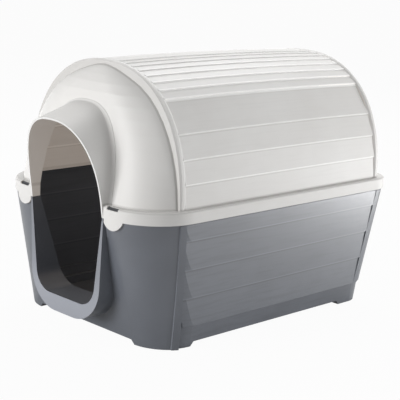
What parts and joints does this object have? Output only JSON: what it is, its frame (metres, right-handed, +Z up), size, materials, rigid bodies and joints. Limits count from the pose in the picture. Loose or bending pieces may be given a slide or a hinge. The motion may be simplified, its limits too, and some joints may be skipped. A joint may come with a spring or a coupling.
{
  "type": "dog house",
  "caption": "Moulded plastic dog house: lift-off barrel roof with a porch hood over an arched doorway, on a lapped-board base tub.",
  "frame": {"origin": "bottom centre of the whole house, on the ground under its feet", "axes": "+Z up, -Y towards the doorway, +X to the right of someone who looks along +Y into the doorway"},
  "size_m": [0.528, 0.846, 0.5894],
  "materials": {
    "base_plastic": "slate grey moulded plastic with a fine grain",
    "roof_plastic": "off-white moulded plastic with a fine grain"
  },
  "bodies": {
    "base": {"base_tub": "base_plastic"},
    "roof": {"roof_shell": "roof_plastic"},
    "catch_front_left": {"front_left_tongue": "base_plastic"},
    "catch_front_right": {"front_right_tongue": "base_plastic"},
    "catch_rear_left": {"rear_left_tongue": "base_plastic"},
    "catch_rear_right": {"rear_right_tongue": "base_plastic"}
  },
  "joints": [
    {"name": "roof_lift", "type": "slide", "parent": "base", "child": "roof", "axis": [0, 0, 1], "range_m": [0, 0.18]},
    {"name": "catch_front_left_flex", "type": "hinge", "parent": "base", "child": "catch_front_left", "pos_m": [-0.15, -0.3719, 0.2743], "axis": [-1, 0, 0], "range_deg": [0, 4], "stiffness_Nm_per_rad": 0.2},
    {"name": "catch_front_right_flex", "type": "hinge", "parent": "base", "child": "catch_front_right", "pos_m": [0.15, -0.3719, 0.2743], "axis": [-1, 0, 0], "range_deg": [0, 4], "stiffness_Nm_per_rad": 0.2},
    {"name": "catch_rear_left_flex", "type": "hinge", "parent": "base", "child": "catch_rear_left", "pos_m": [-0.15, 0.4178, 0.2743], "axis": [1, 0, 0], "range_deg": [0, 4], "stiffness_Nm_per_rad": 0.2},
    {"name": "catch_rear_right_flex", "type": "hinge", "parent": "base", "child": "catch_rear_right", "pos_m": [0.15, 0.4178, 0.2743], "axis": [1, 0, 0], "range_deg": [0, 4], "stiffness_Nm_per_rad": 0.2}
  ]
}
